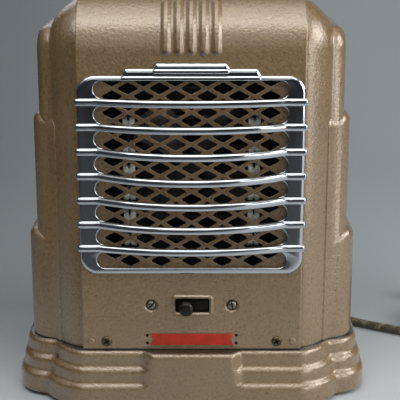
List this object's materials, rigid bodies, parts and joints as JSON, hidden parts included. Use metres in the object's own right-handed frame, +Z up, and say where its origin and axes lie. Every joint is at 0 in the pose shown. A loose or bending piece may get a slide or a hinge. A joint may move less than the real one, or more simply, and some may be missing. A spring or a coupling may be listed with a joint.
{
  "type": "electric fan heater",
  "caption": "Streamlined tabletop fan heater with a stepped bronze-enamelled steel case, bowed chrome grille, lattice screen, slide switch and cloth cord.",
  "frame": {"origin": "on the table under the middle of the heater's own box, cord left out", "axes": "+Z up, the grille faces -Y, +X to the right as seen from the front"},
  "size_m": [0.4895, 0.3075, 0.3491],
  "materials": {
    "bronze_paint": "bronze hammertone enamel, satin, fine orange-peel texture",
    "chrome": "bright plating",
    "red_enamel": "red enamel, bare",
    "screw_steel": "dulled nickel plate",
    "rubber": "black moulded",
    "bakelite": "dark brown moulded",
    "plug_rubber": "black moulded plug",
    "brass": "satin",
    "black_steel": "blackened sheet steel",
    "polished_steel": "polished",
    "porcelain": "glazed white",
    "nichrome": "oxidised wire",
    "motor_steel": "machined",
    "winding": "varnished winding",
    "aluminium": "satin pressed sheet",
    "lead_sleeve": "woven sleeve",
    "cord_cloth": "braided cloth, dark olive brown",
    "tie_cotton": "cotton tape"
  },
  "bodies": {
    "case": {"base_skirt": "bronze_paint", "foot_front_left": "rubber", "foot_rear_left": "rubber", "foot_front_right": "rubber", "foot_rear_right": "rubber", "front_panel": "bronze_paint", "back_panel": "bronze_paint", "side_shell_right": "bronze_paint", "side_shell_left": "bronze_paint", "chrome_grille": "chrome", "diamond_screen": "bronze_paint", "name_strip": "red_enamel", "switch_screw_left": "screw_steel", "panel_screw_left": "screw_steel", "panel_rivet_left": "bronze_paint", "back_screw_lower_left": "screw_steel", "back_screw_upper_left": "screw_steel", "switch_screw_right": "screw_steel", "panel_screw_right": "screw_steel", "panel_rivet_right": "bronze_paint", "back_screw_lower_right": "screw_steel", "back_screw_upper_right": "screw_steel", "switch_body": "bakelite", "baffle_plate": "black_steel", "fan_ring": "polished_steel", "element_rail_left": "black_steel", "bushing_left_1": "porcelain", "bushing_left_2": "porcelain", "bushing_left_3": "porcelain", "bushing_left_4": "porcelain", "bushing_left_5": "porcelain", "bushing_left_6": "porcelain", "element_rail_right": "black_steel", "bushing_right_1": "porcelain", "bushing_right_2": "porcelain", "bushing_right_3": "porcelain", "bushing_right_4": "porcelain", "bushing_right_5": "porcelain", "bushing_right_6": "porcelain", "heating_element": "nichrome", "motor_strap": "black_steel", "motor_stator": "motor_steel", "motor_winding": "winding", "bearing_front": "motor_steel", "bearing_rear": "motor_steel", "terminal_block": "porcelain", "lead_supply": "lead_sleeve", "lead_motor": "lead_sleeve", "strain_relief": "rubber", "power_cord": "cord_cloth", "cord_coil": "cord_cloth", "cord_tie": "tie_cotton", "plug_body": "plug_rubber", "plug_prong_left": "brass", "plug_prong_right": "brass"},
    "fan_rotor": {"fan": "aluminium", "motor_shaft": "motor_steel"},
    "slide": {"switch_slide": "bakelite"}
  },
  "joints": [
    {"name": "fan_spin", "type": "hinge", "parent": "case", "child": "fan_rotor", "pos_m": [0, -0.0315, 0.201], "axis": [0, 1, 0], "continuous": true},
    {"name": "switch_slide_x", "type": "slide", "parent": "case", "child": "slide", "axis": [1, 0, 0], "range_m": [0, 0.011]}
  ]
}
